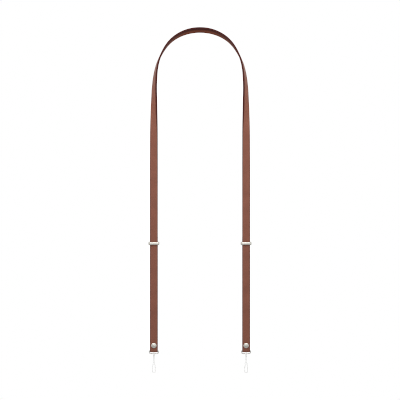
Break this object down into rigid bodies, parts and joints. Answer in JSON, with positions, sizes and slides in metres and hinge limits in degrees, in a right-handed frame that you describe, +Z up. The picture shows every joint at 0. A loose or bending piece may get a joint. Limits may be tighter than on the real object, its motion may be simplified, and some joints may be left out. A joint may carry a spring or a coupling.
{
  "type": "phone lanyard",
  "caption": "Leather neck lanyard hanging as worn, with slide keepers, domed studs, wire rings in the folded ends, and string loops that tie to a phone.",
  "frame": {"origin": "middle of the strap's under face at the top of the arch, where the back of the neck carries it", "axes": "+Z up, +X to the right of a viewer in front of the wearer, the front towards -Y"},
  "size_m": [0.1344, 0.0595, 0.4555],
  "materials": {
    "leather": "fine-grained brown leather with dark burnished edges",
    "polished_metal": "polished nickel plate",
    "string": "white nylon string"
  },
  "bodies": {
    "strap": {"strap": "leather", "stud_left": "polished_metal", "stud_right": "polished_metal"},
    "keeper_left": {"keeper_left": "polished_metal"},
    "keeper_right": {"keeper_right": "polished_metal"},
    "ring_left": {"ring_left": "polished_metal", "hitch_left": "string", "string_left": "string"},
    "ring_right": {"ring_right": "polished_metal", "hitch_right": "string", "string_right": "string"}
  },
  "joints": [
    {"name": "keeper_left_slide", "type": "slide", "parent": "strap", "child": "keeper_left", "axis": [0, 0, 1], "range_m": [-0.12, 0.008]},
    {"name": "keeper_right_slide", "type": "slide", "parent": "strap", "child": "keeper_right", "axis": [0, 0, 1], "range_m": [-0.12, 0.008]},
    {"name": "ring_left_swing", "type": "hinge", "parent": "strap", "child": "ring_left", "pos_m": [-0.06008, -0.05012, -0.42255], "axis": [1, 0, 0], "range_deg": [-90, 90]},
    {"name": "ring_right_swing", "type": "hinge", "parent": "strap", "child": "ring_right", "pos_m": [0.06008, -0.05012, -0.42255], "axis": [1, 0, 0], "range_deg": [-90, 90]}
  ]
}
